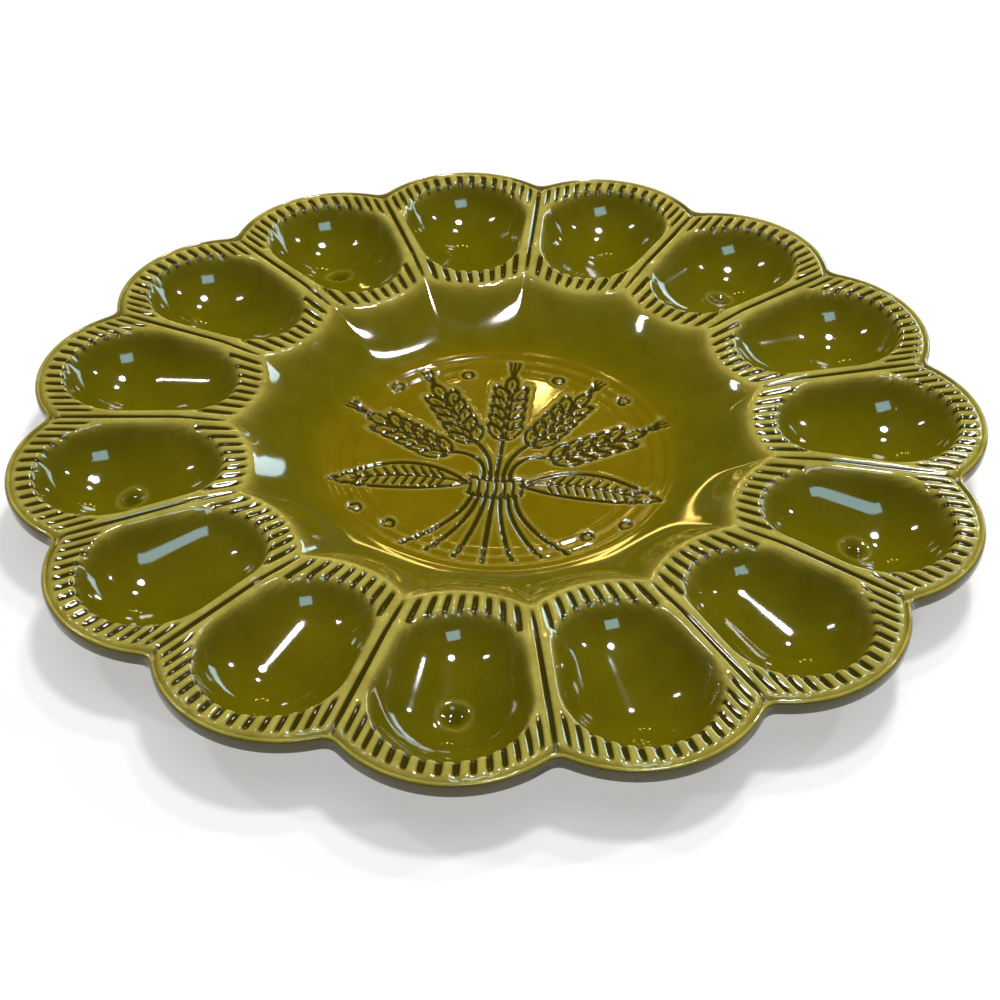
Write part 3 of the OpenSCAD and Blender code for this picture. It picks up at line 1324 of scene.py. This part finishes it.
def glaze_group() -> bpy.types.NodeTree:
    """Returns the group for a glaze that pools dark in grooves and breaks pale over edges; its pool mask
    also carries painted shade, which darkens the lip's side.
    """
    found = bpy.data.node_groups.get("glaze_break")
    if found:
        return found
    tree, nodes, start, end = new_group(
        "glaze_break",
        (("Vector", "Vector"), ("Thin", "Float"), ("Pool", "Float"), ("Well", "Float"), ("Deep", "Color"),
         ("Amber", "Color"), ("Pale", "Color"), ("Groove", "Color")),
        (("Colour", "Color"), ("Roughness", "Float"), ("Height", "Float")),
    )
    vector = start.outputs["Vector"]
    broad = nodes.noise(vector, *BROAD_NOISE)
    cloud = nodes.noise(vector, *CLOUD_NOISE)
    grain = nodes.noise(vector, *GRAIN_NOISE)
    drift = nodes.span(broad, *NOISE_SPREAD, *WELL_DRIFT)
    well = nodes.maths("ADD", start.outputs["Well"], drift)
    well = nodes.span(well, *UNIT, *UNIT)
    body = nodes.mix(well, start.outputs["Amber"], start.outputs["Deep"])
    ragged = nodes.maths("MULTIPLY", start.outputs["Thin"], nodes.span(cloud, *NOISE_SPREAD, *THIN_RAGGED))
    thin = nodes.span(ragged, *UNIT, *UNIT)
    coat = nodes.mix(thin, body, start.outputs["Pale"])
    tone = nodes.add("ShaderNodeHueSaturation")
    nodes.link(coat, tone.inputs["Color"])
    fine = nodes.span(grain, *NOISE_SPREAD, *GRAIN_SHADE)
    shade = nodes.maths("ADD", nodes.span(cloud, *NOISE_SPREAD, *CLOUD_SHADE), fine)
    nodes.link(shade, tone.inputs["Value"])
    # Darkens towards the groove colour: pooled glaze in grooves and sinks, and painted shade down the lip's
    # side
    pool = nodes.span(start.outputs["Pool"], *POOL_AND_SHADE_SPAN, *UNIT)
    nodes.link(nodes.mix(pool, tone.outputs["Color"], start.outputs["Groove"]), end.inputs["Colour"])
    nodes.link(nodes.span(cloud, *GLOSS_SPREAD, *GLAZE_ROUGH), end.inputs["Roughness"])
    nodes.link(nodes.maths("ADD", broad, nodes.maths("MULTIPLY", cloud, CLOUD_HEIGHT)), end.inputs["Height"])
    return tree


@dataclass(frozen=True)
class GlazeFinish:
    """Glossy olive glaze, deep in the wells, warm in the dish and pale over ribs and edges, with painted
    shade darkening the lip's side towards its bottom edge.
    """

    side: Side
    deep: Colour = (0.123, 0.107, 0.0006)
    amber: Colour = (0.190, 0.134, 0.0008)
    pale: Colour = (0.42, 0.365, 0.07)
    # Colour of glaze pooled in grooves, and also the colour of the painted shade at the foot of the lip's
    # side
    groove: Colour = (0.042, 0.033, 0.001)
    speck: Colour = (0.05, 0.04, 0.004)
    specks: float = 0.25
    ior: float = 1.5
    wave: float = 0.12
    wave_depth: float = 0.0006

    def material(self) -> bpy.types.Material:
        """Makes the material."""
        made, nodes, shader = new_material("olive_glaze_" + self.side.value)
        shader.inputs["IOR"].default_value = self.ior
        place = nodes.add("ShaderNodeTexCoord").outputs["Object"]
        glaze = nodes.add("ShaderNodeGroup", node_tree=glaze_group())
        nodes.link(place, glaze.inputs["Vector"])
        for name in RingShell.MASKS:
            mask = nodes.add("ShaderNodeAttribute", attribute_name=name)
            nodes.link(mask.outputs["Fac"], glaze.inputs[name.capitalize()])
        for name in ("deep", "amber", "pale", "groove"):
            glaze.inputs[name.capitalize()].default_value = (*getattr(self, name), 1.0)
        colour = add_specks(nodes, place, glaze.outputs["Colour"], self.speck, self.specks)
        nodes.link(colour, shader.inputs["Base Color"])
        nodes.link(glaze.outputs["Roughness"], shader.inputs["Roughness"])
        waves = nodes.bump(glaze.outputs["Height"], self.wave, self.wave_depth)
        nodes.link(waves, shader.inputs["Normal"])
        return made


@dataclass(frozen=True)
class ClayFinish:
    """Bare buff clay with a sandy tooth and iron specks."""

    light: Colour = (0.56, 0.45, 0.32)
    dark: Colour = (0.44, 0.33, 0.22)
    speck: Colour = (0.16, 0.10, 0.06)
    specks: float = 0.8
    tooth: float = 0.35
    tooth_depth: float = 0.0003

    def material(self) -> bpy.types.Material:
        """Makes the material."""
        made, nodes, shader = new_material("bare_clay")
        place = nodes.add("ShaderNodeTexCoord").outputs["Object"]
        sand = nodes.noise(place, *SAND_NOISE)
        tone = nodes.add("ShaderNodeMix", data_type="RGBA")
        nodes.link(nodes.span(sand, *NOISE_SPREAD, *UNIT), tone.inputs["Factor"])
        tone.inputs[6].default_value = (*self.light, 1.0)
        tone.inputs[7].default_value = (*self.dark, 1.0)
        colour = add_specks(nodes, place, tone.outputs[2], self.speck, self.specks)
        nodes.link(colour, shader.inputs["Base Color"])
        nodes.link(nodes.span(sand, *NOISE_SPREAD, *CLAY_ROUGH), shader.inputs["Roughness"])
        nodes.link(nodes.bump(sand, self.tooth, self.tooth_depth), shader.inputs["Normal"])
        return made


class LampUse(Enum):
    """What a lamp is for: to light surfaces, to be mirrored in them, or both."""

    BOTH = "both"
    LIGHT = "light"
    MIRROR = "mirror"


@dataclass(frozen=True)
class Lamp:
    """One soft lamp of the studio, aimed at the platter."""

    name: str
    round_from_x: float
    up: float
    size: float
    watts: float
    tint: Colour = (1.0, 1.0, 1.0)
    tall: float = 1.0
    use: LampUse = LampUse.BOTH

    def light(self, far: float) -> None:
        """Puts the lamp up at a distance from the platter."""
        turn, up = math.radians(self.round_from_x), math.radians(self.up)
        at = Vector((math.cos(up) * math.cos(turn), math.cos(up) * math.sin(turn), math.sin(up))) * far
        data = bpy.data.lights.new(self.name, "AREA")
        data.shape = "RECTANGLE" if self.use is LampUse.MIRROR else "ELLIPSE"
        data.size = self.size
        data.size_y = self.size * self.tall
        data.energy = self.watts
        data.color = self.tint
        lamp = bpy.data.objects.new(self.name, data)
        lamp.location = at
        lamp.visible_glossy = self.use is not LampUse.LIGHT
        lamp.visible_diffuse = self.use is not LampUse.MIRROR
        lamp.rotation_euler = (-at).to_track_quat("-Z", "Y").to_euler()
        bpy.context.scene.collection.objects.link(lamp)


WARM = (1.0, 0.72, 0.2)


@dataclass
class Studio:
    """Pale floor that turns up all round, soft lamps, and the camera at the photograph's angle."""

    floor_r: float = 2.4
    wall_r: float = 3.0
    wall_h: float = 0.6
    points: int = 96
    floor_rows: tuple[float, ...] = (0.4, 1.0)
    bends: int = 12
    paper_rough: float = 0.95
    floor_tone: Colour = (0.6, 0.6, 0.6)
    floor_glow: float = 0.46
    glow_near: float = 0.9
    glow_far: float = 2.0
    world_tone: Colour = (0.022, 0.022, 0.022)
    eye: Place = (0.05293, -0.49496, 0.40652)
    turn: float = 6.107
    above: float = 40.064
    lens: float = 66.514
    sensor: float = 36.0
    near_clip: float = 0.01
    far: float = 1.45
    lamps: tuple[Lamp, ...] = (
        Lamp("soft_box", -80.0, 80.0, 1.4, 5.4, use=LampUse.LIGHT),
        Lamp("lamp_above", 30.0, 79.0, 0.22, 9.6),
        Lamp("lamp_right", 25.0, 41.0, 0.05, 2.8, tall=2.2),
        Lamp("lamp_left", 170.0, 49.0, 0.08, 2.8, tall=2.6),
        Lamp("lamp_behind_right", 66.0, 64.0, 0.11, 3.4),
        Lamp("window", -68.0, 58.0, 0.5, 4.2, (0.5, 0.86, 1.0), 0.7, LampUse.MIRROR),
        Lamp("window_low", 58.0, 12.0, 0.9, 6.0, (0.66, 0.93, 1.0), 0.3, LampUse.MIRROR),
        Lamp("warm_dot_1", 89.0, 33.0, 0.024, 0.12, WARM),
        Lamp("warm_dot_2", 94.0, 36.0, 0.024, 0.12, WARM),
        Lamp("warm_dot_3", 99.0, 34.0, 0.024, 0.12, WARM),
        Lamp("warm_strip", 102.0, 15.0, 0.7, 1.7, (1.0, 0.70, 0.17), 0.09),
    )

    def backdrop(self) -> bpy.types.Object:
        """Builds the floor and the wall that it turns up into."""
        rows = [(r, 0.0) for r in (*self.floor_rows, self.floor_r)]
        bend = self.wall_r - self.floor_r
        for i in range(1, self.bends + 1):
            t = i / self.bends * math.pi / 2
            rows.append((self.floor_r + bend * math.sin(t), bend * (1.0 - math.cos(t))))
        rows.append((self.wall_r, self.wall_h))
        shell = RingShell("studio_floor", 1.0)
        place = np.arange(self.points) / self.points
        a = place * 2 * math.pi
        shell.add(np.zeros((1, 3)), np.zeros(1))
        for r, z in rows:
            shell.add(stacked(r * np.sin(a), -r * np.cos(a), np.full_like(a, z)) / MM, place)
        return shell.make()

    def floor_material(self) -> bpy.types.Material:
        """Makes the pale floor, lifted to white where it is looked at, which keeps its shadows."""
        made, nodes, shader = new_material("studio_paper")
        shader.inputs["Base Color"].default_value = (*self.floor_tone, 1.0)
        shader.inputs["Roughness"].default_value = self.paper_rough
        shader.inputs["Specular IOR Level"].default_value = 0.0
        shader.inputs["Emission Color"].default_value = (1.0, 1.0, 1.0, 1.0)
        path = nodes.add("ShaderNodeLightPath")
        seen = nodes.maths("MAXIMUM", path.outputs["Is Camera Ray"], path.outputs["Is Glossy Ray"])
        seen = nodes.maths("MAXIMUM", seen, path.outputs["Is Transmission Ray"])
        away = nodes.add("ShaderNodeVectorMath", operation="LENGTH")
        nodes.link(nodes.add("ShaderNodeTexCoord").outputs["Object"], away.inputs[0])
        glow = nodes.span(away.outputs["Value"], self.glow_near, self.glow_far, self.floor_glow, 0.0)
        nodes.link(nodes.maths("MULTIPLY", seen, glow), shader.inputs["Emission Strength"])
        return made

    def build(self) -> None:
        """Sets up the floor, the lamps, the world and the camera."""
        floor = self.backdrop()
        floor.data.materials.append(self.floor_material())
        for lamp in self.lamps:
            lamp.light(self.far)
        world = bpy.data.worlds.new("studio_air")
        world.use_nodes = True
        world.node_tree.nodes["Background"].inputs["Color"].default_value = (*self.world_tone, 1.0)
        bpy.context.scene.world = world
        data = bpy.data.cameras.new("camera")
        data.lens = self.lens
        data.sensor_width = self.sensor
        data.clip_start = self.near_clip
        camera = bpy.data.objects.new("camera", data)
        camera.location = self.eye
        camera.rotation_euler = (math.radians(90.0 - self.above), 0.0, math.radians(self.turn))
        bpy.context.scene.collection.objects.link(camera)
        bpy.context.scene.camera = camera
        bpy.context.scene.view_settings.view_transform = "Standard"


def main() -> None:
    """Builds and dresses the platter, then the studio round it."""
    logging.basicConfig(level=logging.INFO, format="%(name)s: %(message)s")
    form = PlatterForm.from_frame()
    columns = Columns(form)
    layout = Layout(form)
    clay = ClayFinish().material()
    face = FaceGlaze(form, columns, layout, RibBands(form), SinkMarks(form), WheatDesign())
    dress(face.build(), GlazeFinish(Side.FACE).material(), "glaze", "face_glaze")
    under = UndersideGlaze(form, columns, layout)
    dress(under.build(), GlazeFinish(Side.UNDERSIDE).material(), "glaze", "underside_glaze")
    dress(ClayBody(form, columns, layout).build(), clay, "clay", "clay_body")
    for node in sorted(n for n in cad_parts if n.startswith("foot_")):
        dress(PegFoot(node).build(), clay, "clay", node)
    Studio().build()


if __name__ == "__main__":
    main()
